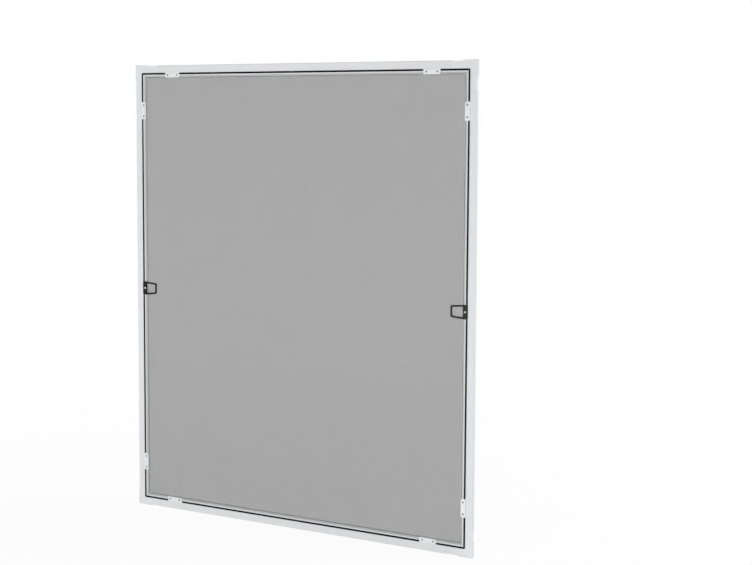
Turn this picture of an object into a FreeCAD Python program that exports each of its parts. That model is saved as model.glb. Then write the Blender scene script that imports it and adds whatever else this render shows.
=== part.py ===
import FreeCAD, Part
import os

# A window insect screen: four extruded profiles joined by moulded corner blocks, a brush seal let
# into the face, a mesh held in a groove by a spline, eight screwed clips and two pull loops.
# Millimetres. X runs to the right, Z up and Y backwards, from the seat that meets the window.
# The origin is the middle of the seat plane.
# Across a profile, u runs inwards from the frame's outer edge, and v backwards from the rail, the
# strip of face that carries the seal and the clips. The seat on the flange stands just in front of it.

V = FreeCAD.Vector
ORIGIN = V(0, 0, 0)
DEPTH_AXIS = V(0, 1, 0)

# Whole frame, over the profiles
frame_width = 1000.0
frame_height = 1200.0

# Profile section
flange_width = 19.0
flange_rise = 0.3
profile_depth = 9.0
profile_wall = 1.3
face_edge_radius = 2.0
back_edge_radius = 0.6
slot_margin = 0.5
slot_width = 5.0
slot_mouth = 3.2
slot_lip = 1.2
slot_depth = 2.6
screw_web = 3.0
groove_width = 4.5
groove_depth = 4.3
inner_lip_width = 0.9
inner_lip_drop = 0.6
inner_edge_below_groove = 0.4

# Corner blocks
corner_leg = 70.0
corner_head = 38.0
corner_proud = 1.2
corner_neck_inset = 1.0
corner_radius = 1.6
corner_chamfer = 1.0
corner_seam_width = 0.5
corner_seam_depth = 1.0
tongue_length = 45.0
tongue_play = 0.6
tongue_clearance = 0.1
tongue_taper = 4.0
tongue_taper_drop = 1.5
tongue_channel_wall = 2.2
rib_width = 1.6
rib_pitch = 9.5
rib_count = 3

# Brush seal
seal_clearance = 0.15
seal_backing = 1.0
pile_height = 1.5
pile_spread = 5.0
pile_flare_height = 0.7
pile_tip_chamfer = 0.4
pile_press_depth = 0.15
pile_press_margin = 0.4

# Mesh and spline
mesh_thickness = 0.35
mesh_columns = 10
mesh_rows = 12
mesh_gap_share = 0.6
hem_clearance = 0.1
spline_clearance = 0.1

# Clips
clip_length = 45.0
clip_thickness = 1.2
clip_corner_cut = 1.2
clip_hole_spacing = 29.5
clip_from_corner = 120.0

# Screws, whose lobed thread-forming shanks are drawn with six sides
screw_shank_sides = 6
screw_shank_radius = 1.0
screw_clearance = 0.05
clip_screw_length = 6.5
clip_screw_head_radius = 2.1
clip_screw_head_height = 0.9
loop_screw_length = 8.0
loop_screw_head_radius = 2.6
loop_screw_head_height = 1.8

# Pull loops
loop_base_length = 35.0
loop_base_thickness = 2.5
loop_base_radius = 1.0
loop_reach = 32.5
loop_far_length = 29.0
loop_bar = 4.6
loop_lift = 0.3
loop_outer_radius = 5.0
loop_inner_radius = 2.4
loop_counterbore_depth = 1.2
loop_counterbore_clearance = 0.3
loop_recess_length = 7.5
loop_recess_width = 5.0
loop_recess_depth = 0.5

# Places across the profile that several pieces share
seat_face = -flange_rise
back_face = seat_face + profile_depth
slot_start = flange_width + slot_margin
slot_end = slot_start + slot_width
slot_middle = slot_start + slot_width / 2
screw_line = slot_end + screw_web / 2
groove_start = slot_end + screw_web
groove_end = groove_start + groove_width
fitting_edge = groove_end
profile_width = groove_end + inner_lip_width
inner_edge_end = groove_depth + inner_edge_below_groove
screw_hole_radius = screw_shank_radius + screw_clearance
loop_screw_seat = loop_counterbore_depth - loop_base_thickness
mesh_front = inner_lip_drop - mesh_thickness
mesh_edge = groove_end - mesh_thickness

# The main chamber, which takes the corner tongues, and the small one behind the slot
main_chamber = (profile_wall, slot_start - profile_wall)
main_chamber_depth = (seat_face + profile_wall, back_face - profile_wall)
small_chamber = (slot_start, screw_line - screw_hole_radius - profile_wall)
small_chamber_depth = (slot_depth + profile_wall, back_face - profile_wall)

# A cut runs this far past the solid that it opens
CUT_PAST = 1.0

SIDES = ("top", "bottom", "left", "right")
SIDE_ANGLE = {"bottom": 0, "left": 90, "top": 180, "right": -90}
SIDE_PLACE = {
    "bottom": V(0, 0, -frame_height / 2),
    "left": V(-frame_width / 2, 0, 0),
    "top": V(0, 0, frame_height / 2),
    "right": V(frame_width / 2, 0, 0),
}
SIDE_HALF = {
    "bottom": frame_width / 2,
    "left": frame_height / 2,
    "top": frame_width / 2,
    "right": frame_height / 2,
}
LOOP_SIDES = ("left", "right")


def on_side(shape, side):
    """A shape modelled along X with u as Z, as the bottom side lies, turned to its own side."""
    placed = shape.copy()
    placed.rotate(ORIGIN, DEPTH_AXIS, SIDE_ANGLE[side])
    placed.translate(SIDE_PLACE[side])
    return placed


def block(along, depth, across):
    """A box from (start, end) pairs along the side, backwards (v) and inwards (u)."""
    size = [pair[1] - pair[0] for pair in (along, depth, across)]
    return Part.makeBox(*size, V(along[0], depth[0], across[0]))


def prism(outline, start, end):
    """A closed outline of (u, v) points carried along a side."""
    points = [V(start, v, u) for u, v in outline]
    face = Part.Face(Part.makePolygon(points + points[:1]))
    return face.extrude(V(end - start, 0, 0))


def plate(outline, front, back):
    """A closed outline of (along, u) points carried from one depth to another."""
    points = [V(along, front, u) for along, u in outline]
    face = Part.Face(Part.makePolygon(points + points[:1]))
    return face.extrude(V(0, back - front, 0))


def depth_edges(shape, wanted):
    """The edges that run front to back and stand at a place that wanted(along, u) accepts."""
    found = []
    for edge in shape.Edges:
        first, last = edge.Vertexes[0].Point, edge.Vertexes[-1].Point
        runs_back = abs(first.x - last.x) + abs(first.z - last.z) < 1e-6
        if runs_back and len(edge.Vertexes) == 2 and wanted(first.x, first.z):
            found.append(edge)
    return found


def face_edges(shape, v, wanted):
    """The edges that lie wholly at one depth and whose middle wanted(along, u) accepts."""
    found = []
    for edge in shape.Edges:
        box = edge.BoundBox
        flat = abs(box.YMin - v) + abs(box.YMax - v) < 1e-6
        if flat and wanted(box.Center.x, box.Center.z):
            found.append(edge)
    return found


def mitred(shape, half):
    """A strip that runs the whole side, cut back at 45 degrees at both ends."""
    reach = half - profile_width
    front, back = -profile_depth, 2 * profile_depth
    outline = [(-half, 0), (half, 0), (reach, profile_width), (-reach, profile_width)]
    return shape.common(plate(outline, front, back))


def clip_places(side):
    """The middles of a side's two clips."""
    place = SIDE_HALF[side] - clip_from_corner
    return (-place, place)


def clip_screw_places(side):
    """The places of a side's clip screws."""
    half_spacing = clip_hole_spacing / 2
    return [place + step for place in clip_places(side) for step in (-half_spacing, half_spacing)]


def at_screw(shape, place):
    """A screw-shaped solid moved from the origin to the screw line."""
    moved = shape.copy()
    moved.translate(V(place, 0, screw_line))
    return moved


def profile_outline(outer):
    """The profile's section, with its outer edge at u = outer."""
    mouth_start = slot_middle - slot_mouth / 2
    mouth_end = slot_middle + slot_mouth / 2
    return [
        (outer, seat_face),
        (flange_width, seat_face),
        (flange_width, 0),
        (mouth_start, 0),
        (mouth_start, slot_lip),
        (slot_start, slot_lip),
        (slot_start, slot_depth),
        (slot_end, slot_depth),
        (slot_end, slot_lip),
        (mouth_end, slot_lip),
        (mouth_end, 0),
        (groove_start, 0),
        (groove_start, groove_depth),
        (groove_end, groove_depth),
        (groove_end, inner_lip_drop),
        (profile_width, inner_lip_drop),
        (profile_width, inner_edge_end),
        (groove_start, back_face),
        (outer, back_face),
    ]


def profile(side):
    """One extruded length between two corner blocks, with its chambers and pilot holes."""
    half = SIDE_HALF[side] - corner_leg
    bar = prism(profile_outline(0), -half, half)
    for v, radius in ((seat_face, face_edge_radius), (back_face, back_edge_radius)):
        bar = bar.makeFillet(radius, face_edges(bar, v, lambda along, u: abs(u) < 1e-6))
    whole = (-half - CUT_PAST, half + CUT_PAST)
    bar = bar.cut(block(whole, main_chamber_depth, main_chamber))
    bar = bar.cut(block(whole, small_chamber_depth, small_chamber))
    clip_hole = screw_hole(-CUT_PAST, clip_screw_length - clip_thickness + screw_clearance)
    holes = [at_screw(clip_hole, place) for place in clip_screw_places(side)]
    if side in LOOP_SIDES:
        loop_hole = screw_hole(-CUT_PAST, loop_screw_seat + loop_screw_length + screw_clearance)
        holes.append(at_screw(loop_hole, 0))
    return bar.cut(Part.makeCompound(holes))


def tongue():
    """A corner block's tongue along X: a channel with a tapered tip and grip ribs."""
    start, end = corner_leg, corner_leg + tongue_length
    across = [main_chamber[0] + tongue_play, main_chamber[1] - tongue_play]
    depth = [main_chamber_depth[0] + tongue_play, main_chamber_depth[1] - tongue_play]
    outline = [
        (start - CUT_PAST, across[0]),
        (end - tongue_taper, across[0]),
        (end, across[0] + tongue_taper_drop),
        (end, across[1] - tongue_taper_drop),
        (end - tongue_taper, across[1]),
        (start - CUT_PAST, across[1]),
    ]
    body = plate(outline, depth[0], depth[1])
    channel = block(
        (start + tongue_channel_wall, end - tongue_taper - tongue_channel_wall),
        (depth[0] + tongue_channel_wall, depth[1] + CUT_PAST),
        (across[0] + tongue_channel_wall, across[1] - tongue_channel_wall),
    )
    grip = tongue_play - tongue_clearance
    ribs = []
    for index in range(rib_count):
        rib_start = start + rib_pitch * (index + 1)
        ribs.append(
            block(
                (rib_start, rib_start + rib_width),
                (depth[0] - grip, depth[1] + grip),
                (across[0] - grip, across[1] + grip),
            )
        )
    return body.multiFuse(ribs).cut(channel)


def corner_block():
    """The bottom left corner, with the frame's corner at the origin: a leg with a proud head and a neck
    that stands back from the profile's edge, cut at 45 degrees, its mirror image, and pockets in the
    back that keep the moulding's walls even."""
    head = prism(profile_outline(-corner_proud), -corner_proud, corner_head)
    leg = head.fuse(prism(profile_outline(corner_neck_inset), corner_head, corner_leg)).removeSplitter()
    seam = (corner_leg - corner_seam_width, corner_leg + CUT_PAST)
    seam_depth = (seat_face - CUT_PAST, seat_face + corner_seam_depth)
    leg = leg.cut(block(seam, seam_depth, (-CUT_PAST, flange_width)))
    far = 2 * corner_leg
    beyond_mitre = [(-far, -far), (far, far), (-far, far)]
    leg = leg.cut(plate(beyond_mitre, -profile_depth, 2 * profile_depth))
    pocket_depth = (seat_face + profile_wall, back_face + CUT_PAST)
    leg_pocket = (slot_start + profile_wall, corner_leg - profile_wall)
    leg = leg.cut(block(leg_pocket, pocket_depth, (corner_neck_inset + profile_wall, main_chamber[1])))
    other_leg = leg.mirror(ORIGIN, V(1, 0, -1))
    whole = leg.fuse(other_leg).removeSplitter()
    whole = whole.makeFillet(
        corner_radius,
        depth_edges(whole, lambda x, z: max(x, z) < -corner_proud + 1e-6),
    )
    outer_edges = []
    # The rounded corner's edge has its middle this far out, and the heads' straight edges lie beyond it
    rim = corner_radius / 2 - corner_proud
    for v in (seat_face, back_face):
        outer_edges += face_edges(whole, v, lambda x, z: min(x, z) < rim + 1e-6)
    whole = whole.makeChamfer(corner_chamfer, outer_edges)
    whole = whole.cut(block(main_chamber, pocket_depth, main_chamber))
    tongues = [tongue(), tongue().mirror(ORIGIN, V(1, 0, -1))]
    return whole.multiFuse(tongues).removeSplitter()


def corner_nodes():
    """The four corner blocks: the bottom left one and its mirror images."""
    bottom_left = corner_block()
    bottom_left.translate(V(-frame_width / 2, 0, -frame_height / 2))
    bottom_right = bottom_left.mirror(ORIGIN, V(1, 0, 0))
    return {
        "corner_bottom_left": bottom_left,
        "corner_bottom_right": bottom_right,
        "corner_top_left": bottom_left.mirror(ORIGIN, V(0, 0, 1)),
        "corner_top_right": bottom_right.mirror(ORIGIN, V(0, 0, 1)),
    }


def brush_seal(side):
    """A backing strip in the slot with pile that flares over the face, pressed down where a clip
    or a pull loop crosses it."""
    half = SIDE_HALF[side]
    backing = slot_width / 2 - seal_clearance
    stem = slot_mouth / 2 - seal_clearance
    spread = pile_spread / 2
    half_outline = [
        (backing, slot_depth),
        (backing, slot_depth - seal_backing),
        (stem, slot_depth - seal_backing),
        (stem, 0),
        (spread, -pile_flare_height),
        (spread, -pile_height + pile_tip_chamfer),
        (spread - pile_tip_chamfer, -pile_height),
    ]
    right = [(slot_middle + u, v) for u, v in half_outline]
    left = [(slot_middle - u, v) for u, v in reversed(half_outline)]
    seal = mitred(prism(right + left, -half, half), half)
    pressed = [(place, clip_length / 2) for place in clip_places(side)]
    if side in LOOP_SIDES:
        pressed.append((0, loop_base_length / 2))
    for place, reach in pressed:
        stretch = (place - reach - pile_press_margin, place + reach + pile_press_margin)
        above = (-pile_height - CUT_PAST, pile_press_depth)
        seal = seal.cut(block(stretch, above, (slot_start - CUT_PAST, slot_end + CUT_PAST)))
    return seal


def spline(side):
    """The round cord that presses the mesh into the groove."""
    half = SIDE_HALF[side]
    radius = (groove_width - mesh_thickness) / 2 - spline_clearance
    middle = V(
        -half,
        groove_depth - spline_clearance - radius,
        groove_start + spline_clearance + radius,
    )
    return mitred(Part.makeCylinder(radius, 2 * half, middle, V(1, 0, 0)), half)


def insect_mesh():
    """The mesh as one thin wall, with its hem turned down along the groove's inner side, and a grid
    of gaps that stands for the weave and has its share of open area."""
    hem_end = groove_depth - hem_clearance
    outside = [
        (-frame_width / 2 + mesh_edge, frame_width / 2 - mesh_edge),
        (-frame_height / 2 + mesh_edge, frame_height / 2 - mesh_edge),
    ]
    inside = [(low + mesh_thickness, high - mesh_thickness) for low, high in outside]
    sheet = block(outside[0], (mesh_front, hem_end), outside[1])
    sheet = sheet.cut(block(inside[0], (inner_lip_drop, hem_end + CUT_PAST), inside[1]))
    through = (mesh_front - CUT_PAST, inner_lip_drop + CUT_PAST)
    gaps = []
    for across in gap_spans(inside[0], mesh_columns):
        for upright in gap_spans(inside[1], mesh_rows):
            gaps.append(block(across, through, upright))
    return sheet.cut(Part.makeCompound(gaps))


def gap_spans(span, count):
    """The (start, end) pairs of a row of gaps, evenly spaced over a span."""
    pitch = (span[1] - span[0]) / count
    half = mesh_gap_share * pitch / 2
    middles = [span[0] + pitch * (index + 0.5) for index in range(count)]
    return [(middle - half, middle + half) for middle in middles]


def shank_bar(radius, front, back):
    """A bar on the depth axis with a shank's sides, its corners at a radius."""
    turns = [360 * index / screw_shank_sides for index in range(screw_shank_sides)]
    corners = [FreeCAD.Rotation(DEPTH_AXIS, turn).multVec(V(radius, 0, 0)) for turn in turns]
    return plate([(corner.x, corner.z) for corner in corners], front, back)


def pan_screw(seat, head_radius, head_height, length):
    """A pan head screw on the depth axis, with the underside of its head at seat."""
    head = Part.makeCylinder(head_radius, head_height, V(0, seat - head_height, 0), DEPTH_AXIS)
    return head.fuse(shank_bar(screw_shank_radius, seat, seat + length))


def clip_screw():
    """A screw with its head on the face of a clip."""
    return pan_screw(-clip_thickness, clip_screw_head_radius, clip_screw_head_height, clip_screw_length)


def loop_screw():
    """A screw with its head in the pull loop's counterbore."""
    return pan_screw(loop_screw_seat, loop_screw_head_radius, loop_screw_head_height, loop_screw_length)


def screw_hole(start, end):
    """A hole for a screw's shank, from one depth to another."""
    return shank_bar(screw_hole_radius, start, end)


def clip(side, place):
    """A stamped plate from the slot to the groove's far side, with two screw holes."""
    half = clip_length / 2
    across = (slot_start, fitting_edge)
    body = block((place - half, place + half), (-clip_thickness, 0), across)
    body = body.makeChamfer(clip_corner_cut, depth_edges(body, lambda along, u: True))
    hole = screw_hole(-clip_thickness - CUT_PAST, CUT_PAST)
    for step in (-clip_hole_spacing / 2, clip_hole_spacing / 2):
        body = body.cut(at_screw(hole, place + step))
    return on_side(body, side)


def pull_loop():
    """A moulded loop: a base plate screwed to the profile and a tapered bow that stands clear of
    the mesh, with a counterbored hole and two shallow recesses in the base."""
    base_half = loop_base_length / 2
    far_half = loop_far_length / 2
    far = fitting_edge + loop_reach
    front = -loop_base_thickness
    slope = (base_half - far_half) / loop_reach
    bow_outline = [
        (-base_half, fitting_edge),
        (base_half, fitting_edge),
        (far_half, far),
        (-far_half, far),
    ]
    bow = plate(bow_outline, front, -loop_lift)
    bow = bow.makeFillet(loop_outer_radius, depth_edges(bow, lambda along, u: u > far - 1e-6))
    gap_start = base_half - loop_bar
    gap_end = gap_start - slope * (loop_reach - loop_bar)
    gap_far = far - loop_bar
    gap_outline = [
        (-gap_start, fitting_edge),
        (gap_start, fitting_edge),
        (gap_end, gap_far),
        (-gap_end, gap_far),
    ]
    gap = plate(gap_outline, front - CUT_PAST, CUT_PAST)
    gap = gap.makeFillet(loop_inner_radius, depth_edges(gap, lambda along, u: True))
    base = block((-base_half, base_half), (front, 0), (slot_start, fitting_edge))
    base = base.makeFillet(loop_base_radius, depth_edges(base, lambda along, u: u < slot_start + 1e-6))
    body = base.fuse(bow).removeSplitter().cut(gap)
    bore_radius = loop_screw_head_radius + loop_counterbore_clearance
    bore_start = V(0, front - CUT_PAST, screw_line)
    bore = Part.makeCylinder(bore_radius, CUT_PAST + loop_counterbore_depth, bore_start, DEPTH_AXIS)
    hole = screw_hole(front, CUT_PAST)
    body = body.cut(bore).cut(at_screw(hole, 0))
    recess_middle = (bore_radius + base_half) / 2
    for middle in (-recess_middle, recess_middle):
        recess = block(
            (middle - loop_recess_length / 2, middle + loop_recess_length / 2),
            (front - CUT_PAST, front + loop_recess_depth),
            (screw_line - loop_recess_width / 2, screw_line + loop_recess_width / 2),
        )
        body = body.cut(recess)
    return body


def clip_nodes():
    """Two clips on each side, named by where they sit."""
    nodes = {}
    for side in SIDES:
        low, high = clip_places(side)
        if side in LOOP_SIDES:
            # Along X the left side runs downwards once it is turned, and the right side upwards
            lower, upper = (high, low) if side == "left" else (low, high)
            nodes[f"clip_{side}_upper"] = clip(side, upper)
            nodes[f"clip_{side}_lower"] = clip(side, lower)
        else:
            # The top side is turned end for end
            left, right = (high, low) if side == "top" else (low, high)
            nodes[f"clip_{side}_left"] = clip(side, left)
            nodes[f"clip_{side}_right"] = clip(side, right)
    return nodes


def screw_nodes():
    """All clip screws as one group of solids, and both loop screws as another."""
    clip_screws = []
    for side in SIDES:
        for place in clip_screw_places(side):
            clip_screws.append(on_side(at_screw(clip_screw(), place), side))
    loop_screws = [on_side(at_screw(loop_screw(), 0), side) for side in LOOP_SIDES]
    return {
        "clip_screws": Part.makeCompound(clip_screws),
        "pull_loop_screws": Part.makeCompound(loop_screws),
    }


def main():
    nodes = {"insect_mesh": insect_mesh()}
    for side in SIDES:
        nodes[f"profile_{side}"] = on_side(profile(side), side)
        nodes[f"brush_seal_{side}"] = on_side(brush_seal(side), side)
        nodes[f"spline_{side}"] = on_side(spline(side), side)
    for side in LOOP_SIDES:
        nodes[f"pull_loop_{side}"] = on_side(pull_loop(), side)
    nodes.update(corner_nodes())
    nodes.update(clip_nodes())
    nodes.update(screw_nodes())
    os.makedirs("parts", exist_ok=True)
    for name, shape in nodes.items():
        shape.translate(V(0, -seat_face, 0))
        shape.exportStep(f"parts/{name}.step")


main()
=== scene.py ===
"""Looks of a window insect screen, laid over its solid model.

The screen stands upright and is seen from the side that meets the window. Lengths are metres. Across a
side of the frame, u runs inwards from the outer edge and v backwards from the rail that carries the
clips. Along a side, s runs from one corner to the other.
"""

import math

import bpy
import numpy as np
from bpy.props import FloatProperty, FloatVectorProperty, IntProperty, PointerProperty
from mathutils import Matrix, Vector


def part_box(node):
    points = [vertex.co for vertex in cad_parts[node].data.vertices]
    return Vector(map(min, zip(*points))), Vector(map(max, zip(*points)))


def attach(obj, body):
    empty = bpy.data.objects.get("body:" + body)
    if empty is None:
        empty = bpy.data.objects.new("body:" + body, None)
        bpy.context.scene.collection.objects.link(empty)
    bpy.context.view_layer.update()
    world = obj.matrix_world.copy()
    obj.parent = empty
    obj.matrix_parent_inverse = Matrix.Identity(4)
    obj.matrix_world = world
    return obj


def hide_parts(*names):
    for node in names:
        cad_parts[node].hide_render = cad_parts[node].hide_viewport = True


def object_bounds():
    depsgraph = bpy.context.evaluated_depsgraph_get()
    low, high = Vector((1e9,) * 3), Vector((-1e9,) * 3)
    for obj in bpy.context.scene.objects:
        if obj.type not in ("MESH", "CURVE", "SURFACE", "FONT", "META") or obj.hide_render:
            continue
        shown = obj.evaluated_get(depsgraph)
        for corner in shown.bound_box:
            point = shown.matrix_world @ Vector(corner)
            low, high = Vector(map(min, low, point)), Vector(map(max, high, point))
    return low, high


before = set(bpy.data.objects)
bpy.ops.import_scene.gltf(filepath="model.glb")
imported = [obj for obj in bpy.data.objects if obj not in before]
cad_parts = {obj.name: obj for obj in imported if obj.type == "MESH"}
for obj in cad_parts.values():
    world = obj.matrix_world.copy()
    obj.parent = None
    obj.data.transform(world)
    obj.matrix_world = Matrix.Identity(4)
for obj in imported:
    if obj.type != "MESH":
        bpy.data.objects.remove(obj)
CAD_LOW, CAD_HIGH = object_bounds()

bl_info = {
    "name": "Window insect screen",
    "version": (1, 0, 0),
    "blender": (4, 5, 0),
    "location": "View3D > Sidebar > Screen",
    "description": "Dresses the solid model of a framed insect screen and sets it in a white studio",
    "category": "Object",
}

MM = 0.001
SIDES = ("top", "bottom", "left", "right")
LOOP_SIDES = ("left", "right")
CLIPS = (
    "top_left",
    "top_right",
    "bottom_left",
    "bottom_right",
    "left_upper",
    "left_lower",
    "right_upper",
    "right_lower",
)
HALF_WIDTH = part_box("profile_right")[1].x
HALF_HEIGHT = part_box("profile_top")[1].z
SIDE_HALF = {"top": HALF_WIDTH, "bottom": HALF_WIDTH, "left": HALF_HEIGHT, "right": HALF_HEIGHT}
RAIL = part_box("clip_top_left")[1].y


def across(node):
    """The span in u of a node on the bottom side."""
    low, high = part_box(node)
    return low.z + HALF_HEIGHT, high.z + HALF_HEIGHT


def depth(node):
    """The span in v of a node."""
    low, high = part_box(node)
    return low.y - RAIL, high.y - RAIL


FITTING_EDGE = across("clip_bottom_left")[1]
SEAL_ACROSS = across("brush_seal_bottom")
SEAL_DEPTH = depth("brush_seal_bottom")
SPLINE_ACROSS = across("spline_bottom")
SPLINE_DEPTH = depth("spline_bottom")
CLIP_DEPTH = depth("clip_top_left")
LOOP_DEPTH = depth("pull_loop_left")
LOOP_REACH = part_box("pull_loop_left")[1].x + HALF_WIDTH
LOOP_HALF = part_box("pull_loop_left")[1].z


class ScreenSizes(bpy.types.PropertyGroup):
    """Sizes of the fine pieces."""

    yarn_pitch: FloatProperty(
        name="Yarn pitch",
        description="Distance between neighbouring yarns of the mesh",
        default=1.2 * MM,
        unit="LENGTH",
    )
    yarn_width: FloatProperty(
        name="Yarn width",
        description="Width of a yarn in the plane of the mesh",
        default=0.5 * MM,
        unit="LENGTH",
    )
    yarn_thickness: FloatProperty(
        name="Yarn thickness",
        description="Thickness of a yarn through the mesh",
        default=0.17 * MM,
        unit="LENGTH",
    )
    tuft_pitch: FloatProperty(
        name="Tuft pitch",
        description="Distance between tufts along the brush seal",
        default=0.9 * MM,
        unit="LENGTH",
    )
    tuft_rows: IntProperty(
        name="Tuft rows",
        description="Rows of tufts across the brush seal",
        default=5,
    )
    seal_mouth: FloatProperty(
        name="Slot mouth",
        description="Width of the slot that the pile comes through",
        default=3.2 * MM,
        unit="LENGTH",
    )
    seal_backing: FloatProperty(
        name="Seal backing",
        description="Thickness of the seal's backing strip",
        default=1.0 * MM,
        unit="LENGTH",
    )
    spline_flutes: IntProperty(
        name="Spline flutes",
        description="Shallow flutes round the spline",
        default=14,
    )
    spline_flute_depth: FloatProperty(
        name="Flute depth",
        description="Depth of a flute",
        default=0.12 * MM,
        unit="LENGTH",
    )
    clip_corner: FloatProperty(
        name="Clip corner",
        description="Radius of a clip's corners",
        default=1.6 * MM,
        unit="LENGTH",
    )
    clip_roll: FloatProperty(
        name="Clip edge",
        description="Radius of the rolled edge round a clip's face",
        default=0.35 * MM,
        unit="LENGTH",
    )
    screw_spacing: FloatProperty(
        name="Screw spacing",
        description="Distance between the two screws of a clip",
        default=29.5 * MM,
        unit="LENGTH",
    )
    clip_head: FloatProperty(
        name="Clip screw head",
        description="Radius of a clip screw's head",
        default=2.1 * MM,
        unit="LENGTH",
    )
    loop_head: FloatProperty(
        name="Loop screw head",
        description="Radius of a pull loop screw's head",
        default=2.6 * MM,
        unit="LENGTH",
    )
    shank: FloatProperty(
        name="Shank",
        description="Radius of the screws' shanks",
        default=1.0 * MM,
        unit="LENGTH",
    )
    loop_bar: FloatProperty(
        name="Loop bar",
        description="Width of a pull loop's bow",
        default=4.6 * MM,
        unit="LENGTH",
    )
    loop_far_half: FloatProperty(
        name="Loop far half",
        description="Half the length of a pull loop's far edge",
        default=14.5 * MM,
        unit="LENGTH",
    )
    loop_roll: FloatProperty(
        name="Loop edge",
        description="Radius of the rounded edges of a pull loop",
        default=0.6 * MM,
        unit="LENGTH",
    )
    loop_lift: FloatProperty(
        name="Loop lift",
        description="Height of a pull loop's bow above the rail",
        default=0.3 * MM,
        unit="LENGTH",
    )
    loop_bore_depth: FloatProperty(
        name="Loop bore",
        description="Depth of the bore for a pull loop's screw head",
        default=1.2 * MM,
        unit="LENGTH",
    )
    loop_recess_length: FloatProperty(
        name="Recess length",
        description="Length of a recess in a pull loop's base",
        default=7.5 * MM,
        unit="LENGTH",
    )
    loop_recess_width: FloatProperty(
        name="Recess width",
        description="Width of a recess in a pull loop's base",
        default=5.0 * MM,
        unit="LENGTH",
    )
    loop_recess_depth: FloatProperty(
        name="Recess depth",
        description="Depth of a recess in a pull loop's base",
        default=0.5 * MM,
        unit="LENGTH",
    )


def colour(name, text, default):
    """A colour property in linear values."""
    return FloatVectorProperty(
        name=name, description=text, subtype="COLOR", size=3, min=0, max=1, default=default
    )


class ScreenColours(bpy.types.PropertyGroup):
    """Colours of the finishes."""

    powder: colour("Powder coat", "Coat on the extruded profiles", (0.776, 0.784, 0.799))
    corner: colour("Corner blocks", "Moulded plastic of the corner blocks", (0.792, 0.801, 0.818))
    pile: colour("Pile", "Bristles of the brush seal", (0.009, 0.009, 0.0095))
    spline: colour("Spline", "Soft plastic of the spline", (0.55, 0.55, 0.555))
    yarn: colour("Yarn", "Coating of the mesh yarns", (0.03, 0.03, 0.03))
    lacquer: colour("Clip lacquer", "Lacquer on the clips", (0.832, 0.840, 0.854))
    dull_zinc: colour("Clip screws", "Plating of the clip screws", (0.14, 0.14, 0.145))
    bright_zinc: colour("Loop screws", "Plating of the pull loop screws", (0.50, 0.50, 0.51))
    loop: colour("Pull loops", "Moulded plastic of the pull loops", (0.010, 0.010, 0.0105))
    floor: colour("Floor", "Paper under the screen", (0.90, 0.90, 0.90))


class ScreenStage(bpy.types.PropertyGroup):
    """Camera and light."""

    camera_place: FloatVectorProperty(
        name="Camera place",
        description="Where the camera stands",
        subtype="TRANSLATION",
        unit="LENGTH",
        size=3,
        default=(1.7578, -2.9405, 0.4511),
    )
    camera_yaw: FloatProperty(
        name="Yaw",
        description="Turn of the camera from straight ahead towards the left",
        subtype="ANGLE",
        default=math.radians(27.429),
    )
    camera_pitch: FloatProperty(
        name="Pitch",
        description="Tilt of the camera above the horizon",
        subtype="ANGLE",
        default=math.radians(-4.706),
    )
    camera_roll: FloatProperty(
        name="Roll",
        description="Turn of the camera about its own axis",
        subtype="ANGLE",
        default=math.radians(0.336),
    )
    camera_lens: FloatProperty(
        name="Lens",
        description="Focal length in millimetres on a 36 mm sensor",
        default=64.455,
    )
    camera_shift: FloatProperty(
        name="Shift",
        description="Upward shift of the lens, as a share of the image's width",
        default=-0.065,
    )
    key_place: FloatVectorProperty(
        name="Key place",
        description="Where the soft light in front of the screen stands",
        subtype="TRANSLATION",
        unit="LENGTH",
        size=3,
        default=(-0.4, -3.0, -0.35),
    )
    key_size: FloatProperty(
        name="Key size",
        description="Width of the soft light in front of the screen",
        unit="LENGTH",
        default=0.5,
    )
    side_place: FloatVectorProperty(
        name="Side place",
        description="Where the soft light behind the screen stands",
        subtype="TRANSLATION",
        unit="LENGTH",
        size=3,
        default=(4.0, 1.8, 2.6),
    )
    side_size: FloatProperty(
        name="Side size",
        description="Width of the soft light behind the screen",
        unit="LENGTH",
        default=1.5,
    )
    sky: FloatProperty(
        name="Sky",
        description="Strength of the even light from all round",
        default=0.4,
    )
    key_power: FloatProperty(
        name="Key light",
        description="Power of the soft light in front of the screen",
        unit="POWER",
        default=42.0,
    )
    side_power: FloatProperty(
        name="Side light",
        description="Power of the soft light behind the screen, on the right",
        unit="POWER",
        default=150.0,
    )


def sizes():
    """The sizes that are set in the scene."""
    return bpy.context.scene.screen_sizes


def colours():
    """The colours that are set in the scene."""
    return bpy.context.scene.screen_colours


class Wire:
    """A node's output socket. Sums, differences and products of wires and numbers add the Math nodes
    that work them out."""

    def __init__(self, finish, socket):
        self.finish = finish
        self.socket = socket

    def _math(self, operation, first, second):
        return self.finish.node("Math", {"operation": operation}, {0: first, 1: second})

    def __add__(self, other):
        return self._math("ADD", self, other)

    def __radd__(self, other):
        return self._math("ADD", other, self)

    def __sub__(self, other):
        return self._math("SUBTRACT", self, other)

    def __rsub__(self, other):
        return self._math("SUBTRACT", other, self)

    def __mul__(self, other):
        return self._math("MULTIPLY", self, other)

    def __rmul__(self, other):
        return self._math("MULTIPLY", other, self)


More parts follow.
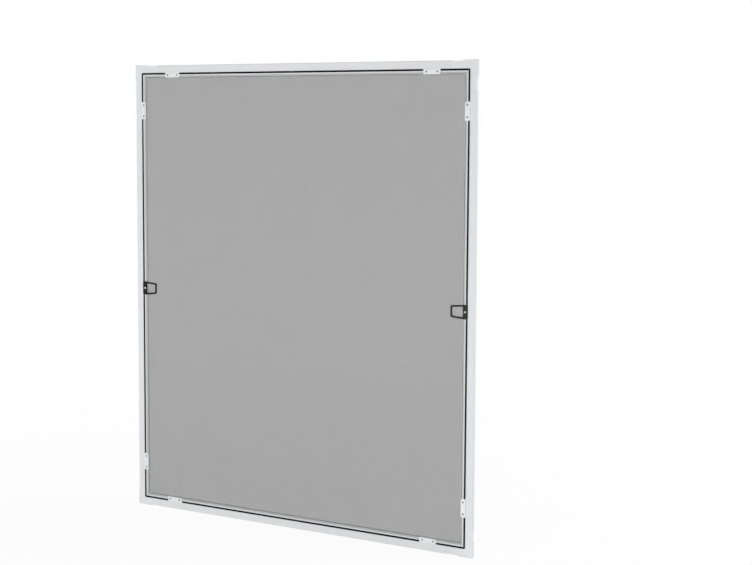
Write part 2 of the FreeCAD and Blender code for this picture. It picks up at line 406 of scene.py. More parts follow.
class Finish:
    """A node tree that is filled by expressions."""

    def __init__(self, tree):
        self.tree = tree
        tree.nodes.clear()

    def node(self, kind, settings=None, inputs=None, output=0):
        """Adds a node of a kind, sets its settings, then its sockets, and returns one of its outputs, or
        nothing where it has none."""
        made = self.tree.nodes.new(f"ShaderNode{kind}")
        for name, value in (settings or {}).items():
            setattr(made, name, value)
        for name, value in (inputs or {}).items():
            if isinstance(value, Wire):
                self.tree.links.new(value.socket, made.inputs[name])
            else:
                made.inputs[name].default_value = value
        return Wire(self, made.outputs[output]) if made.outputs else None

    def place(self):
        """Object coordinates in millimetres."""
        where = self.node("TexCoord", output="Object")
        return self.node("Mapping", inputs={"Vector": where, "Scale": [1 / MM] * 3})

    def noise(self, size_mm, detail=2.0):
        """Noise from 0 to 1 whose lumps are about size_mm across."""
        return self.node(
            "TexNoise",
            inputs={"Vector": self.place(), "Scale": 1 / size_mm, "Detail": detail},
        )

    def mix(self, share, first, second):
        """A colour that goes from first to second as share goes from 0 to 1. The Mix node's sockets for
        colours share their names with others, so they are given by number."""
        return self.node(
            "Mix",
            {"data_type": "RGBA"},
            {0: share, 6: (*first, 1), 7: (*second, 1)},
            output=2,
        )

    def bump(self, height, distance_mm):
        """A normal bent by a height from 0 to 1 that stands for distance_mm."""
        return self.node("Bump", inputs={"Height": height, "Distance": distance_mm * MM})


def shaded(value, factor):
    """A colour made darker or lighter by a factor, kept within range."""
    return [min(1.0, part * factor) for part in value]


def surface(name, **sockets):
    """A material with one principled shader. Each socket gets a number, or what a function of the
    finish returns."""
    material = bpy.data.materials.new(name)
    material.use_nodes = True
    finish = Finish(material.node_tree)
    inputs = {}
    for socket, value in sockets.items():
        inputs[socket.replace("_", " ")] = value(finish) if callable(value) else value
    shader = finish.node("BsdfPrincipled", inputs=inputs)
    finish.node("OutputMaterial", inputs={"Surface": shader})
    return material


def mottled(base, spread, size_mm):
    """A base colour that drifts by a small share over lumps of a size."""

    def fill(finish):
        return finish.mix(finish.noise(size_mm), shaded(base, 1 - spread), shaded(base, 1 + spread))

    return fill


def uneven(middle, spread, size_mm):
    """A value that drifts about a middle by a spread over lumps of a size."""

    def fill(finish):
        return middle + (finish.noise(size_mm) - 0.5) * (2 * spread)

    return fill


def grained(size_mm, height_mm, detail=2.0):
    """A normal roughened by noise of a size and height."""

    def fill(finish):
        return finish.bump(finish.noise(size_mm, detail), height_mm)

    return fill


def powder_coat():
    """Matt powder coat: a fine orange peel and a faint drift of tone."""
    return surface(
        "powder_coat",
        Base_Color=mottled(colours().powder, spread=0.012, size_mm=60),
        Roughness=uneven(0.60, spread=0.05, size_mm=9),
        Normal=grained(size_mm=0.9, height_mm=0.02, detail=1.0),
        IOR=1.46,
    )


def corner_plastic():
    """Moulded plastic with a spark-eroded grain, a little more matt than the coat."""
    return surface(
        "corner_plastic",
        Base_Color=mottled(colours().corner, spread=0.01, size_mm=25),
        Roughness=uneven(0.62, spread=0.04, size_mm=5),
        Normal=grained(size_mm=0.35, height_mm=0.025),
        IOR=1.46,
    )


def brush_pile():
    """Black bristles: paler and darker tufts and a dull sheen."""
    return surface(
        "brush_pile",
        Base_Color=mottled(colours().pile, spread=0.35, size_mm=0.5),
        Roughness=uneven(0.62, spread=0.10, size_mm=0.8),
        Specular_IOR_Level=0.12,
    )


def spline_plastic():
    """Soft extruded plastic with a fine grain."""
    return surface(
        "spline_plastic",
        Base_Color=mottled(colours().spline, spread=0.03, size_mm=30),
        Roughness=uneven(0.50, spread=0.06, size_mm=4),
        Normal=grained(size_mm=0.5, height_mm=0.02),
        IOR=1.5,
    )


def yarn_coating():
    """Coated glass yarn: near black with paler patches where the coat is thin."""
    return surface(
        "yarn_coating",
        Base_Color=mottled(colours().yarn, spread=0.30, size_mm=1.7),
        Roughness=uneven(0.48, spread=0.10, size_mm=2.5),
        IOR=1.5,
    )


def clip_lacquer():
    """Smooth lacquer on stamped steel."""
    return surface(
        "clip_lacquer",
        Base_Color=mottled(colours().lacquer, spread=0.012, size_mm=12),
        Roughness=uneven(0.45, spread=0.05, size_mm=4),
        Normal=grained(size_mm=1.6, height_mm=0.015, detail=1.0),
        IOR=1.48,
    )


def zinc_plate(name, tint, roughness):
    """Plated steel: metal whose tint and polish drift in fine patches."""
    return surface(
        name,
        Base_Color=mottled(tint, spread=0.10, size_mm=0.8),
        Metallic=0.9,
        Roughness=uneven(roughness, spread=0.08, size_mm=0.6),
        Normal=grained(size_mm=0.3, height_mm=0.012),
    )


def loop_plastic():
    """Black moulded plastic with a fine grain."""
    return surface(
        "loop_plastic",
        Base_Color=mottled(colours().loop, spread=0.12, size_mm=6),
        Roughness=uneven(0.46, spread=0.06, size_mm=3),
        Normal=grained(size_mm=0.4, height_mm=0.03),
        Specular_IOR_Level=0.15,
    )


def full_turn(count):
    """Even angles once round, as many as count."""
    return 2 * math.pi * np.arange(count) / count


def quarter_turn(count):
    """Even angles from 0 to a right angle, as many as count."""
    return np.linspace(0, math.pi / 2, count)


def on_side(side, s, u, v):
    """Points in the object's frame from places along, across and behind a side, as arrays."""
    s, u, v = np.broadcast_arrays(s, u, v)
    y = v + RAIL
    if side == "bottom":
        parts = (s, y, u - HALF_HEIGHT)
    elif side == "top":
        parts = (-s, y, HALF_HEIGHT - u)
    elif side == "left":
        parts = (u - HALF_WIDTH, y, -s)
    else:
        parts = (HALF_WIDTH - u, y, s)
    return np.stack(parts, axis=-1)


def quads_over(rows, columns, wrap_rows=False, wrap_columns=False):
    """Quads between neighbours on a grid of points that is numbered row by row."""
    r, c = np.meshgrid(
        np.arange(rows if wrap_rows else rows - 1),
        np.arange(columns if wrap_columns else columns - 1),
        indexing="ij",
    )
    next_r, next_c = (r + 1) % rows, (c + 1) % columns
    corners = [r * columns + c, r * columns + next_c, next_r * columns + next_c, next_r * columns + c]
    return np.stack(corners, axis=-1).reshape(-1, 4)


def repeated(faces, count, step):
    """The faces of one shape, numbered again for each of count copies of step points."""
    return (faces[None] + (np.arange(count) * step)[:, None, None]).reshape(-1, faces.shape[1])


def outward(points, faces):
    """The faces of closed shells, turned so that the volume that they close counts as positive."""
    first = points[faces[:, 0]]
    volume = 0.0
    for k in range(1, faces.shape[1] - 1):
        volume += np.einsum("ij,ij->", first, np.cross(points[faces[:, k]], points[faces[:, k + 1]]))
    return faces if volume > 0 else faces[:, ::-1]


# Faces that turn by more than this from their neighbours have a sharp edge between them
SHARP_TURN = math.radians(40)


def add_piece(name, shells, finish, stands_for):
    """A mesh from shells of points and faces, which rides on the frame and stands for solid nodes."""
    points = []
    faces = []
    start = 0
    for shell_points, shell_faces in shells:
        shell_points = np.reshape(shell_points, (-1, 3))
        points.append(shell_points)
        faces.extend((shell_faces + start).tolist())
        start += len(shell_points)
    mesh = bpy.data.meshes.new(name)
    mesh.from_pydata(np.concatenate(points).tolist(), [], faces)
    mesh.polygons.foreach_set("use_smooth", np.ones(len(mesh.polygons), bool))
    mesh.set_sharp_from_angle(angle=SHARP_TURN)
    mesh.materials.append(finish)
    piece = bpy.data.objects.new(name, mesh)
    bpy.context.scene.collection.objects.link(piece)
    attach(piece, "root")
    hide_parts(*stands_for)
    return piece


def coat(nodes, finish):
    """Gives solid nodes a finish."""
    for name in nodes:
        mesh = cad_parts[name].data
        mesh.materials.clear()
        mesh.materials.append(finish)


YARN_SIDES = 6


def oval(width, thickness):
    """Points (across, through) round a yarn's flattened section: an ellipse, starting at its edge."""
    turn = full_turn(YARN_SIDES)
    return np.stack([np.cos(turn) * width / 2, np.sin(turn) * thickness / 2], axis=-1)


def tube_faces(steps, ring):
    """Quads of a tube of steps rings, each of an even count of points, closed by quads at both ends."""
    walls = quads_over(steps, ring, wrap_columns=True)
    k = np.arange(1, ring // 2)
    cap = np.stack([k - 1, k, ring - 1 - k, (ring - k) % ring], axis=-1)
    return np.concatenate([walls, cap[:, ::-1], cap + (steps - 1) * ring])


def tubes(points):
    """A shell from an array (tube, step, ring, xyz) of tubes that all turn the same way."""
    count, steps, ring = points.shape[:3]
    faces = outward(points[0].reshape(-1, 3), tube_faces(steps, ring))
    return points, repeated(faces, count, steps * ring)


def yarns(places, path, section):
    """Yarns side by side: a flattened section carried along a path of points (along, deep), repeated at
    places across it. At a bend the section's thickness lies on the bend's mitre. Returns the yarns'
    places across, along and deep as arrays (yarn, step, ring)."""
    runs = np.diff(path, axis=0)
    runs = runs / np.linalg.norm(runs, axis=1)[:, None]
    normals = np.stack([-runs[:, 1], runs[:, 0]], axis=-1)
    before = np.concatenate([normals[:1], normals])
    after = np.concatenate([normals, normals[-1:]])
    mitre = (before + after) / (1 + np.sum(before * after, axis=1))[:, None]
    sides = path[:, None] + mitre[:, None] * section[None, :, 1, None]
    spread = places[:, None, None] + section[None, None, :, 0]
    return np.broadcast_arrays(spread, sides[None, ..., 0], sides[None, ..., 1])


def yarn_places(half, pitch):
    """Even places from side to side, a pitch apart and centred."""
    count = int(2 * half / pitch)
    return (np.arange(count) - (count - 1) / 2) * pitch


def in_sheet(upright, spread, along, y):
    """Points of upright yarns, which run along Z, or of level ones, which run along X."""
    return np.stack((spread, y, along) if upright else (along, y, spread), axis=-1)


class SCREEN_OT_insect_mesh(bpy.types.Operator):
    """Weave the insect mesh from yarns that turn down into the groove at their ends"""

    bl_idname = "screen.insect_mesh"
    bl_label = "Insect mesh"

    def execute(self, context):
        size = sizes()
        low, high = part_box("insect_mesh")
        pitch, thick = size.yarn_pitch, size.yarn_thickness
        section = oval(size.yarn_width, thick)
        hem_rows = np.arange(low.y + 2 * thick + pitch / 2, high.y - size.yarn_width / 2, pitch)
        shells = []
        # Upright yarns lie in front of the level ones, and outside them where they turn down
        for upright, inset in ((True, 0.5 * thick), (False, 1.5 * thick)):
            half_spread = high.x if upright else high.z
            half_along = high.z if upright else high.x
            edge, front = half_along - inset, low.y + inset
            path = np.array([(-edge, high.y), (-edge, front), (edge, front), (edge, high.y)])
            across_sheet = yarns(yarn_places(half_spread - pitch, pitch), path, section)
            shells.append(tubes(in_sheet(upright, *across_sheet)))
            # The hem's own long yarns run beside the ones that turn down
            beside = half_spread - 2 * thick + inset
            run = np.array([(-edge, 0.0), (edge, 0.0)])
            y, along, out = yarns(hem_rows, run, section)
            for sign in (-1, 1):
                shells.append(tubes(in_sheet(upright, sign * beside + out, along, y)))
        piece = add_piece("insect_mesh_yarns", shells, yarn_coating(), ["insect_mesh"])
        return {"FINISHED"}


def strip(side, section):
    """A straight strip along a side: a section of points (u, v) carried from mitre to mitre, so that a
    point's run ends where it meets the next side's."""
    u, v = np.array(section).T
    reach = SIDE_HALF[side] - u
    ends = np.stack([-reach, reach])
    return on_side(side, ends, u[None], v[None])


def pressed_spans(side):
    """The stretches of a side where a clip or a pull loop lies on the seal, as middles and half lengths."""
    level = side in ("top", "bottom")
    low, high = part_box("clip_bottom_right" if level else "clip_right_upper")
    first, last = (low.x, high.x) if level else (low.z, high.z)
    middle, half = (first + last) / 2, (last - first) / 2
    spans = [(-middle, half), (middle, half)]
    if side in LOOP_SIDES:
        spans.append((0.0, LOOP_HALF))
    return spans


SEAL_GAP = 0.15 * MM  # between the seal and the slot's sides
ROOT_INSET = 0.2 * MM  # of the outer rows' roots from the body's sides
TIP_INSET = 0.3 * MM  # of the outer rows' tips from the seal's sides
ROOT_DEPTH = 0.5 * MM  # of the roots behind the rail
TIP_SWAY = 0.22  # chance in the tips' place along the side, in pitches
TIP_SPREAD_MM = 0.10  # and across it
TIP_DROP_MM = 0.35  # and in their height
TUFT_WIDTHS = (1.25, 0.55)  # at root and tip, in pitches
PILE_SEED = 7


def tuft_row(side, root_u, tip_u, shift, chance):
    """One row of tufts: tapered four-sided bundles that lean from root_u to tip_u, a pitch apart, with
    a little chance in their place, lean and height. Returns an array (tuft, step, ring, xyz)."""
    size = sizes()
    pitch = size.tuft_pitch
    reach = SIDE_HALF[side] - max(root_u, tip_u) - pitch
    s = np.arange(-reach + shift * pitch, reach, pitch)
    free = np.ones(len(s), bool)
    for middle, half in pressed_spans(side):
        free &= np.abs(s - middle) > half + pitch
    s = s[free]
    count = len(s)
    root = np.stack([s, np.full(count, root_u), np.full(count, ROOT_DEPTH)], axis=-1)
    tip = np.stack(
        [
            s + chance.normal(0, TIP_SWAY, count) * pitch,
            tip_u + chance.normal(0, TIP_SPREAD_MM, count) * MM,
            SEAL_DEPTH[0] + chance.uniform(0.0, TIP_DROP_MM, count) * MM,
        ],
        axis=-1,
    )
    middle = np.stack([root, tip], axis=1)[:, :, None]
    bundle = np.array([(0.5, 0), (0, 0.5), (-0.5, 0), (0, -0.5)]) * pitch
    taper = np.array(TUFT_WIDTHS)[None, :, None]
    along = middle[..., 0] + taper * bundle[None, None, :, 0]
    over = np.clip(middle[..., 1] + taper * bundle[None, None, :, 1], *SEAL_ACROSS)
    deep = np.broadcast_to(middle[..., 2], along.shape)
    return on_side(side, along, over, deep)


def seal_block(half, back, front):
    """The section of a block about the seal's middle, as points (u, v) round it."""
    middle = sum(SEAL_ACROSS) / 2
    return [
        (middle + half, back),
        (middle + half, front),
        (middle - half, front),
        (middle - half, back),
    ]


class SCREEN_OT_brush_seals(bpy.types.Operator):
    """Fill the slot with a backing strip and rows of bristle tufts"""

    bl_idname = "screen.brush_seals"
    bl_label = "Brush seals"

    def execute(self, context):
        size = sizes()
        pile = brush_pile()
        chance = np.random.default_rng(PILE_SEED)
        middle = sum(SEAL_ACROSS) / 2
        half = SEAL_ACROSS[1] - middle
        stem = size.seal_mouth / 2 - SEAL_GAP
        shelf = SEAL_DEPTH[1] - size.seal_backing
        backing = seal_block(half - SEAL_GAP, SEAL_DEPTH[1], shelf)
        body = seal_block(stem, shelf, SEAL_GAP)
        spread = np.linspace(-1, 1, size.tuft_rows)
        roots = middle + spread * (stem - ROOT_INSET)
        tips = middle + spread * (half - TIP_INSET)
        for side in SIDES:
            shells = [tubes(strip(side, section)[None]) for section in (backing, body)]
            for row, (root_u, tip_u) in enumerate(zip(roots, tips)):
                shells.append(tubes(tuft_row(side, root_u, tip_u, 0.5 * (row % 2), chance)))
            add_piece(f"brush_pile_{side}", shells, pile, [f"brush_seal_{side}"])
        return {"FINISHED"}


POINTS_PER_FLUTE = 4


class SCREEN_OT_splines(bpy.types.Operator):
    """Lay a fluted cord in each groove over the mesh's hem"""

    bl_idname = "screen.splines"
    bl_label = "Splines"

    def execute(self, context):
        size = sizes()
        finish = spline_plastic()
        radius = (SPLINE_ACROSS[1] - SPLINE_ACROSS[0]) / 2
        turn = full_turn(size.spline_flutes * POINTS_PER_FLUTE)
        # The radius dips by the flutes' depth along a cosine that has one wave to a flute
        flute = radius - size.spline_flute_depth * (0.5 - 0.5 * np.cos(size.spline_flutes * turn))
        u = sum(SPLINE_ACROSS) / 2 + flute * np.cos(turn)
        v = sum(SPLINE_DEPTH) / 2 + flute * np.sin(turn)
        section = np.stack([u, v], axis=-1)
        for side in SIDES:
            shells = [tubes(strip(side, section)[None])]
            add_piece(f"spline_cord_{side}", shells, finish, [f"spline_{side}"])
        return {"FINISHED"}


# Points on a quarter of a plate's corner and of a rolled edge
CORNER_POINTS = 8
EDGE_POINTS = 5


def rounded_box(half_x, half_z, radius, inset):
    """Points (x, z) round a rectangle with round corners, moved inwards by an inset."""
    turn = quarter_turn(CORNER_POINTS)
    arc = np.stack([np.cos(turn), np.sin(turn)], axis=-1) * (radius - inset)
    middle = np.array([half_x - radius, half_z - radius])
    quarter = np.array([[0, -1], [1, 0]])
    corners = []
    for k, flip in enumerate(((1, 1), (-1, 1), (-1, -1), (1, -1))):
        corners.append(arc @ np.linalg.matrix_power(quarter, k).T + middle * flip)
    return np.concatenate(corners)


class SCREEN_OT_clips(bpy.types.Operator):
    """Stamp the eight clips: flat plates with round corners and a rolled edge"""

    bl_idname = "screen.clips"
    bl_label = "Clips"

    def execute(self, context):
        size = sizes()
        finish = clip_lacquer()
        # The edge is a quarter circle: its inset follows the cosine of the bend, its level the sine
        bend = quarter_turn(EDGE_POINTS)
        insets = np.concatenate([[0.0], size.clip_roll * (1 - np.cos(bend))])
        for name in CLIPS:
            low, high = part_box(f"clip_{name}")
            half_x, half_z = (high.x - low.x) / 2, (high.z - low.z) / 2
            levels = np.concatenate([[high.y], low.y + size.clip_roll * (1 - np.sin(bend))])
            rings = np.stack([rounded_box(half_x, half_z, size.clip_corner, d) for d in insets])
            x = rings[..., 0] + (low.x + high.x) / 2
            z = rings[..., 1] + (low.z + high.z) / 2
            y = np.broadcast_to(levels[:, None], x.shape)
            shells = [tubes(np.stack([x, y, z], axis=-1)[None])]
            add_piece(f"clip_plate_{name}", shells, finish, [f"clip_{name}"])
        return {"FINISHED"}


def cross_recess(x, z, arm, half_width, slope):
    """How deep a cross-shaped recess lies at a place, from 0 outside to 1 inside, with sloping walls."""
    wide, tall = np.abs(x), np.abs(z)
    level = np.minimum(arm - wide, half_width - tall)
    upright = np.minimum(arm - tall, half_width - wide)
    return np.clip(np.maximum(level, upright) / slope, 0, 1)


# Parts of a screw's head as shares of its radius
HEAD_FLAT = 0.06
HEAD_DOME = 0.9
HEAD_RIM = 0.1
CROSS_ARM = 0.62
CROSS_HALF_WIDTH = 0.15
CROSS_SLOPE = 0.07
# Fall of the dome and depth of the cross as shares of the head's height, and the tip's of the shank
HEAD_FALL = 0.35
CROSS_DEPTH = 0.5
SCREW_TIP = 0.5
# Rings over the dome and the rim, and points on each
DOME_RINGS = 15
RIM_RINGS = 4
SCREW_POINTS = 48
SCREW_SEED = 11


def pan_screws(middles, seat, head, head_height, length, turns):
    """Screws with low domed heads and cross recesses. Each is a tube of rings: out over the dome, whose
    height falls with the square of the radius, round the rim, in to the shank and back to the tip."""
    shank = sizes().shank
    face = np.linspace(HEAD_FLAT, HEAD_DOME, DOME_RINGS) * head
    rim = quarter_turn(RIM_RINGS)[1:]
    rim_size = HEAD_RIM * head
    radii = np.concatenate(
        [face, HEAD_DOME * head + rim_size * np.sin(rim), [head, shank, shank, SCREW_TIP * shank]]
    )
    dome = seat - head_height + HEAD_FALL * head_height * (face / head) ** 2
    edge = dome[-1] + rim_size * (1 - np.cos(rim))
    levels = np.concatenate([dome, edge, [seat, seat, seat + length - shank, seat + length]])
    turn = full_turn(SCREW_POINTS)
    x = radii[:, None] * np.cos(turn)
    z = radii[:, None] * np.sin(turn)
    recess = cross_recess(x, z, CROSS_ARM * head, CROSS_HALF_WIDTH * head, CROSS_SLOPE * head)
    recess[len(face):] = 0
    y = levels[:, None] + CROSS_DEPTH * head_height * recess
    spin = np.array(turns)[:, None, None]
    placed_x = middles[:, 0, None, None] + x * np.cos(spin) - z * np.sin(spin)
    placed_z = middles[:, 2, None, None] + x * np.sin(spin) + z * np.cos(spin)
    placed_y = np.broadcast_to(RAIL + y, placed_x.shape)
    return tubes(np.stack([placed_x, placed_y, placed_z], axis=-1))


def screw_line():
    """The screws' place across a side, from the loop screws' node and head."""
    return HALF_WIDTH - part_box("pull_loop_screws")[1].x + sizes().loop_head


def add_screws(name, node, places, seat, head, chance, finish):
    """The screws of one node, with their heads on a seat and each cross at its own angle."""
    low, high = depth(node)
    turns = chance.uniform(0, math.pi / 2, len(places))
    screws = pan_screws(places, seat, head, seat - low, high - seat, turns)
    add_piece(name, [screws], finish, [node])


class SCREEN_OT_screws(bpy.types.Operator):
    """Turn in the clip screws and the pull loop screws, each cross at its own angle"""

    bl_idname = "screen.screws"
    bl_label = "Screws"

    def execute(self, context):
        size = sizes()
        chance = np.random.default_rng(SCREW_SEED)
        line = screw_line()
        step = size.screw_spacing / 2
        clip_places = []
        for side in SIDES:
            for middle, _ in pressed_spans(side)[:2]:
                pair = np.array([middle - step, middle + step])
                clip_places.append(on_side(side, pair, line, 0.0))
        add_screws(
            "clip_screw_heads",
            "clip_screws",
            np.concatenate(clip_places),
            CLIP_DEPTH[0],
            size.clip_head,
            chance,
            zinc_plate("dull_zinc", colours().dull_zinc, roughness=0.42),
        )
        add_screws(
            "loop_screw_heads",
            "pull_loop_screws",
            np.concatenate([on_side(side, np.zeros(1), line, 0.0) for side in LOOP_SIDES]),
            LOOP_DEPTH[0] + size.loop_bore_depth,
            size.loop_head,
            chance,
            zinc_plate("bright_zinc", colours().bright_zinc, roughness=0.30),
        )
        return {"FINISHED"}


# Radii of a pull loop's corners, two each at its foot, rail's edge and far edge, and of its finger gap's
OUTER_RADII = np.array([1, 1, 2, 5, 5, 2]) * MM
GAP_RADII = np.full(4, 2.4) * MM
OUTLINE_STEP = 0.2 * MM  # at most, between points on an outline
ARC_POINTS = 12  # on a rounded corner
LOOP_TURNS = 240  # angles round the loop
FOOT_TURNS = 200  # more angles towards its foot
FACE_STEPS = 46  # over its face
BORE_GAP = 0.3 * MM  # round the screw's head
WALL_SLOPE = 0.3 * MM  # that the walls of the bore and the recesses take
CLOSE = 0.01 * MM  # to the rail's edge


def divided(start, end, gap):
    """Even points from start to short of end, at most a gap apart."""
    count = max(2, int(np.linalg.norm(end - start) / gap) + 1)
    return start + np.linspace(0, 1, count)[:-1, None] * (end - start)


def rounded_outline(corners, radii, gap):
    """Points round a convex outline of corners, each rounded by its radius: the arc touches both edges
    at radius / tan(half the corner's angle) from the corner. Points lie at most a gap apart."""
    count = len(corners)
    runs = []
    for k in range(count):
        corner = corners[k]
        back = corners[k - 1] - corner
        ahead = corners[(k + 1) % count] - corner
        back, ahead = back / np.linalg.norm(back), ahead / np.linalg.norm(ahead)
        half = math.acos(np.clip(back @ ahead, -1, 1)) / 2
        touch = radii[k] / math.tan(half)
        inward = (back + ahead) / np.linalg.norm(back + ahead)
        middle = corner + inward * radii[k] / math.sin(half)
        first, last = corner + back * touch - middle, corner + ahead * touch - middle
        share = np.linspace(0, 1, ARC_POINTS)[:, None]
        sweep = math.pi - 2 * half
        arc = (np.sin((1 - share) * sweep) * first + np.sin(share * sweep) * last) / math.sin(sweep)
        runs.append(middle + arc)
    arcs = np.concatenate(runs)
    ends = np.roll(arcs, -1, axis=0)
    return np.concatenate([divided(start, end, gap) for start, end in zip(arcs, ends)])


def reach_at(outline, middle, turn):
    """An outline's distance from a middle at each angle of turn, read between its points."""
    from_middle = outline - middle
    angle = np.arctan2(from_middle[:, 1], from_middle[:, 0])
    order = np.argsort(angle)
    return np.interp(turn, angle[order], np.hypot(*from_middle.T)[order], period=2 * math.pi)


def loop_outlines():
    """A pull loop's outer outline, its finger gap's outline and the gap's middle, as points (s, u). Both
    outlines narrow by the same slope from the rail's edge to the far edge, a bar's width apart."""
    size = sizes()
    foot = SEAL_ACROSS[0]
    slope = (LOOP_HALF - size.loop_far_half) / (LOOP_REACH - FITTING_EDGE)
    gap_foot = LOOP_HALF - size.loop_bar
    gap_top = LOOP_REACH - size.loop_bar
    gap_far = gap_foot - slope * (gap_top - FITTING_EDGE)
    outer_corners = np.array(
        [
            (-LOOP_HALF, foot),
            (LOOP_HALF, foot),
            (LOOP_HALF, FITTING_EDGE),
            (size.loop_far_half, LOOP_REACH),
            (-size.loop_far_half, LOOP_REACH),
            (-LOOP_HALF, FITTING_EDGE),
        ]
    )
    gap_corners = np.array(
        [(-gap_foot, FITTING_EDGE), (gap_foot, FITTING_EDGE), (gap_far, gap_top), (-gap_far, gap_top)]
    )
    outer = rounded_outline(outer_corners, OUTER_RADII, OUTLINE_STEP)
    inner = rounded_outline(gap_corners, GAP_RADII, OUTLINE_STEP)
    return outer, inner, np.array([0, (FITTING_EDGE + gap_top) / 2])


def loop_sunk(s, u):
    """How far a pull loop's face is sunk at a place: within the screw's bore, and within a rectangular
    recess on each side of it, with walls that slope evenly."""
    size = sizes()
    line = screw_line()
    bore_radius = size.loop_head + BORE_GAP
    bore = bore_radius - np.hypot(s, u - line)
    recess_middle = (bore_radius + LOOP_HALF) / 2
    recess = np.minimum(
        size.loop_recess_length / 2 - np.abs(np.abs(s) - recess_middle),
        size.loop_recess_width / 2 - np.abs(u - line),
    )
    sunk = size.loop_bore_depth * np.clip(bore / WALL_SLOPE + 0.5, 0, 1)
    return sunk + size.loop_recess_depth * np.clip(recess / WALL_SLOPE + 0.5, 0, 1)


def loop_surface(side):
    """A pull loop as a closed band between its outer outline and its finger gap. One parameter is the
    angle about the gap's middle, the other runs over the section: up the outer wall, round its edge,
    over the face, round the inner edge, down the inner wall and back underneath. The face sinks in the
    screw's bore and in two shallow recesses."""
    size = sizes()
    front, back = LOOP_DEPTH
    roll = size.loop_roll
    outer, inner, middle = loop_outlines()
    even = np.linspace(-math.pi, math.pi, LOOP_TURNS, endpoint=False)
    towards_foot = np.linspace(-0.75 * math.pi, -0.25 * math.pi, FOOT_TURNS)
    turn = np.unique(np.concatenate([even, towards_foot]))[:, None]
    far, near = reach_at(outer, middle, turn), reach_at(inner, middle, turn)
    bend = quarter_turn(EDGE_POINTS)[None]
    share = np.linspace(0, 1, FACE_STEPS)[None, 1:-1]
    reach = np.concatenate(
        [
            far,
            far - roll * (1 - np.cos(bend)),
            far - roll + (near - far + 2 * roll) * share,
            near + roll * (1 - np.cos(bend[:, ::-1])),
            near,
        ],
        axis=1,
    )
    s = reach * np.cos(turn)
    u = middle[1] + reach * np.sin(turn)
    edge_fall = roll * (1 - np.sin(bend))
    flat = np.zeros_like(share)
    v = front + np.concatenate([[[0]], edge_fall, flat, edge_fall[:, ::-1], [[0]]], axis=1)
    v = v + loop_sunk(s, u)
    # The walls' lower ends lie on the rail at the foot and are lifted off it along the bow
    v[:, [0, -1]] = np.where(u[:, [0, -1]] < FITTING_EDGE + CLOSE, back, -size.loop_lift)
    points = on_side(side, s, u, v)
    faces = quads_over(*s.shape, wrap_rows=True, wrap_columns=True)
    return points, outward(points.reshape(-1, 3), faces)


class SCREEN_OT_pull_loops(bpy.types.Operator):
    """Mould the two pull loops with rounded edges, a bore for the screw and shallow recesses"""

    bl_idname = "screen.pull_loops"
    bl_label = "Pull loops"

    def execute(self, context):
        finish = loop_plastic()
        for side in LOOP_SIDES:
            add_piece(f"loop_{side}", [loop_surface(side)], finish, [f"pull_loop_{side}"])
        return {"FINISHED"}


class SCREEN_OT_frame_coats(bpy.types.Operator):
    """Coat the extruded profiles and the moulded corner blocks"""

    bl_idname = "screen.frame_coats"
    bl_label = "Frame coats"

    def execute(self, context):
        coat([f"profile_{side}" for side in SIDES], powder_coat())
        corners = [f"corner_{end}_{side}" for end in ("top", "bottom") for side in LOOP_SIDES]
        coat(corners, corner_plastic())
        return {"FINISHED"}


FLOOR_REACH = 30  # from the middle to the floor's edges
FLOOR_LINES = 7  # of points each way
WHITE_NEAR = 0.94  # share of plain white on the paper near the screen
FADE_FROM_MM = 700.0  # from the middle, where the shadow starts to fade
FADE_TO_MM = 2600.0  # where it has gone
SENSOR_MM = 36  # width of the camera's sensor


def seen_directly(finish):
    """1 for rays from the camera and for reflected or transmitted ones, 0 for rays that only light."""
    kinds = [
        finish.node("LightPath", output=name)
        for name in ("Is Camera Ray", "Is Glossy Ray", "Is Transmission Ray")
    ]
    return finish.node("Math", {"operation": "MINIMUM"}, {0: kinds[0] + kinds[1] + kinds[2], 1: 1.0})


def white_paper():
    """Floor paper that looks white, takes a soft shadow near the screen and fades to plain white beyond."""
    material = bpy.data.materials.new("white_paper")
    material.use_nodes = True
    finish = Finish(material.node_tree)
    fibre = mottled(colours().floor, spread=0.015, size_mm=40)(finish)
    paper = finish.node(
        "BsdfPrincipled", inputs={"Base Color": fibre, "Roughness": 1.0, "Specular IOR Level": 0.0}
    )
    glow = finish.node("Emission", inputs={"Color": (1, 1, 1, 1), "Strength": 1.0})
    away = finish.node("VectorMath", {"operation": "LENGTH"}, {0: finish.place()}, output="Value")
    fade = finish.node(
        "MapRange",
        inputs={
            "Value": away,
            "From Min": FADE_FROM_MM,
            "From Max": FADE_TO_MM,
            "To Min": WHITE_NEAR,
            "To Max": 1.0,
        },
    )
    both = finish.node("MixShader", inputs={0: seen_directly(finish) * fade, 1: paper, 2: glow})
    finish.node("OutputMaterial", inputs={"Surface": both})
    return material


def white_world(strength):
    """Even light of a strength, and plain white where it is looked at."""
    world = bpy.data.worlds.new("white_studio")
    world.use_nodes = True
    finish = Finish(world.node_tree)
    lit = finish.node("Background", inputs={"Color": (1, 1, 1, 1), "Strength": strength})
    seen = finish.node("Background", inputs={"Color": (1, 1, 1, 1), "Strength": 1.0})
    both = finish.node("MixShader", inputs={0: seen_directly(finish), 1: lit, 2: seen})
    finish.node("OutputWorld", inputs={"Surface": both})
    return world


def aimed(forward, roll=0.0):
    """The turn of a camera or lamp that looks along forward, with its top side up and a roll about it."""
    forward = Vector(forward).normalized()
    right = forward.cross(Vector((0, 0, 1))).normalized()
    up = right.cross(forward)
    rolled_right = right * math.cos(roll) + up * math.sin(roll)
    rolled_up = up * math.cos(roll) - right * math.sin(roll)
    return Matrix((rolled_right, rolled_up, -forward)).transposed().to_euler()


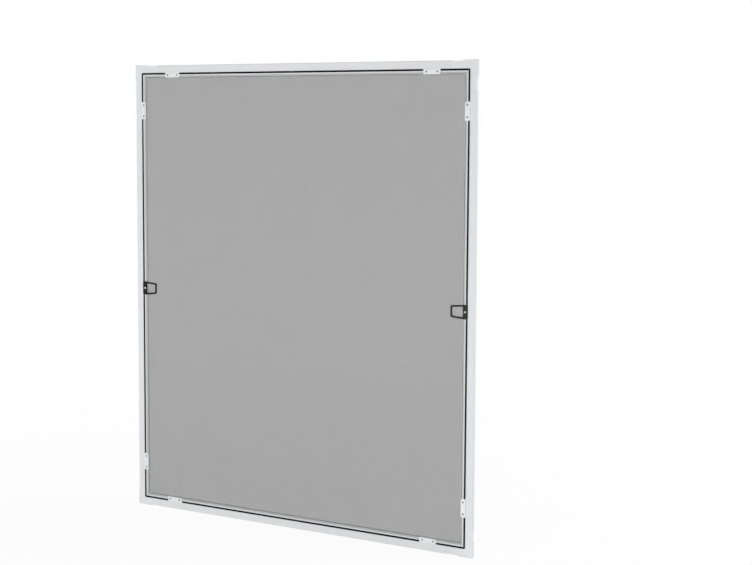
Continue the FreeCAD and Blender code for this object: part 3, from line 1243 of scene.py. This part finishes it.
def add_lamp(name, place, size, power):
    """A round soft light of a size at a place, turned to the middle of the screen."""
    lamp = bpy.data.lights.new(name, "AREA")
    lamp.shape = "DISK"
    lamp.size = size
    lamp.energy = power
    light = bpy.data.objects.new(name, lamp)
    light.location = place
    light.rotation_euler = aimed(-light.location)
    light.visible_camera = False
    bpy.context.scene.collection.objects.link(light)


class SCREEN_OT_stage(bpy.types.Operator):
    """Set the floor, the light and the camera"""

    bl_idname = "screen.stage"
    bl_label = "Stage"

    def execute(self, context):
        scene = context.scene
        stage = scene.screen_stage
        scene.view_settings.view_transform = "Standard"
        scene.world = white_world(stage.sky)
        reach = np.linspace(-FLOOR_REACH, FLOOR_REACH, FLOOR_LINES)
        x, y = np.meshgrid(reach, reach, indexing="ij")
        points = np.stack([x, y, np.full_like(x, CAD_LOW.z)], axis=-1).reshape(-1, 3)
        mesh = bpy.data.meshes.new("floor")
        mesh.from_pydata(points.tolist(), [], quads_over(FLOOR_LINES, FLOOR_LINES)[:, ::-1].tolist())
        mesh.materials.append(white_paper())
        floor = bpy.data.objects.new("floor", mesh)
        scene.collection.objects.link(floor)
        add_lamp("key", stage.key_place, stage.key_size, stage.key_power)
        add_lamp("side", stage.side_place, stage.side_size, stage.side_power)
        lens = bpy.data.cameras.new("camera")
        lens.sensor_width = SENSOR_MM
        lens.lens = stage.camera_lens
        lens.shift_y = stage.camera_shift
        camera = bpy.data.objects.new("camera", lens)
        camera.location = stage.camera_place
        yaw, pitch = stage.camera_yaw, stage.camera_pitch
        forward = (-math.sin(yaw) * math.cos(pitch), math.cos(yaw) * math.cos(pitch), math.sin(pitch))
        camera.rotation_euler = aimed(forward, stage.camera_roll)
        scene.collection.objects.link(camera)
        scene.camera = camera
        return {"FINISHED"}


OPERATORS = (
    SCREEN_OT_frame_coats,
    SCREEN_OT_insect_mesh,
    SCREEN_OT_splines,
    SCREEN_OT_brush_seals,
    SCREEN_OT_clips,
    SCREEN_OT_pull_loops,
    SCREEN_OT_screws,
    SCREEN_OT_stage,
)
GROUPS = {"screen_sizes": ScreenSizes, "screen_colours": ScreenColours, "screen_stage": ScreenStage}


class SCREEN_PT_panel(bpy.types.Panel):
    """Lists the screen's pieces and settings"""

    bl_idname = "SCREEN_PT_panel"
    bl_label = "Insect screen"
    bl_space_type = "VIEW_3D"
    bl_region_type = "UI"
    bl_category = "Screen"

    def draw(self, context):
        for operator in OPERATORS:
            self.layout.operator(operator.bl_idname)
        for name, group in GROUPS.items():
            box = self.layout.box()
            for setting in group.__annotations__:
                box.prop(getattr(context.scene, name), setting)


def register():
    """Registers the settings, the operators and the panel."""
    for group in GROUPS.values():
        bpy.utils.register_class(group)
    for name, group in GROUPS.items():
        setattr(bpy.types.Scene, name, PointerProperty(type=group))
    for operator in OPERATORS:
        bpy.utils.register_class(operator)
    bpy.utils.register_class(SCREEN_PT_panel)


def unregister():
    """Takes out what register put in, in the other order."""
    bpy.utils.unregister_class(SCREEN_PT_panel)
    for operator in reversed(OPERATORS):
        bpy.utils.unregister_class(operator)
    for name in GROUPS:
        delattr(bpy.types.Scene, name)
    for group in reversed(GROUPS.values()):
        bpy.utils.unregister_class(group)


def main():
    """Makes every piece and the stage."""
    register()
    bpy.ops.screen.frame_coats()
    bpy.ops.screen.insect_mesh()
    bpy.ops.screen.splines()
    bpy.ops.screen.brush_seals()
    bpy.ops.screen.clips()
    bpy.ops.screen.pull_loops()
    bpy.ops.screen.screws()
    bpy.ops.screen.stage()


if __name__ == "__main__":
    main()
